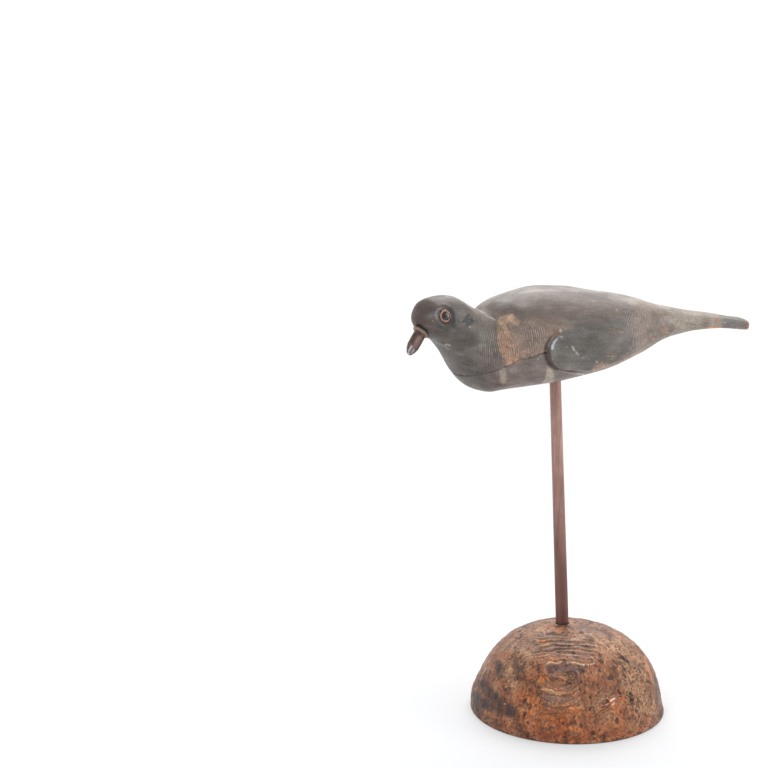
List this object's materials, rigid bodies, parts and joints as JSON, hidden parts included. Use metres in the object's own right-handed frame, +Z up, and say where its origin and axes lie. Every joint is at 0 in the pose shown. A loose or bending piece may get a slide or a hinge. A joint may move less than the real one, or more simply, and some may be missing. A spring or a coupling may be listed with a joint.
{
  "type": "pigeon decoy on a rod stand",
  "caption": "Carved and painted wooden pigeon decoy, head down, on a slim rod set in a half-dome burl wood base.",
  "frame": {"origin": "middle of the flat underside of the burl base", "axes": "+Z up; the bird's head points to -X and its left side to -Y"},
  "size_m": [0.3541, 0.1855, 0.4099],
  "materials": {
    "painted_wood": "worn matt grey-brown paint",
    "bill_wood": "dark brown gloss varnish",
    "eye_glass": "clear glass over a painted iris",
    "rod_wood": "reddish brown stain, satin",
    "burl_wood": "waxed burl, satin"
  },
  "bodies": {
    "root": {"upper_block": "painted_wood", "lower_block": "painted_wood", "bill": "bill_wood", "left_eye": "eye_glass", "right_eye": "eye_glass", "rod": "rod_wood", "burl_base": "burl_wood"}
  },
  "joints": []
}
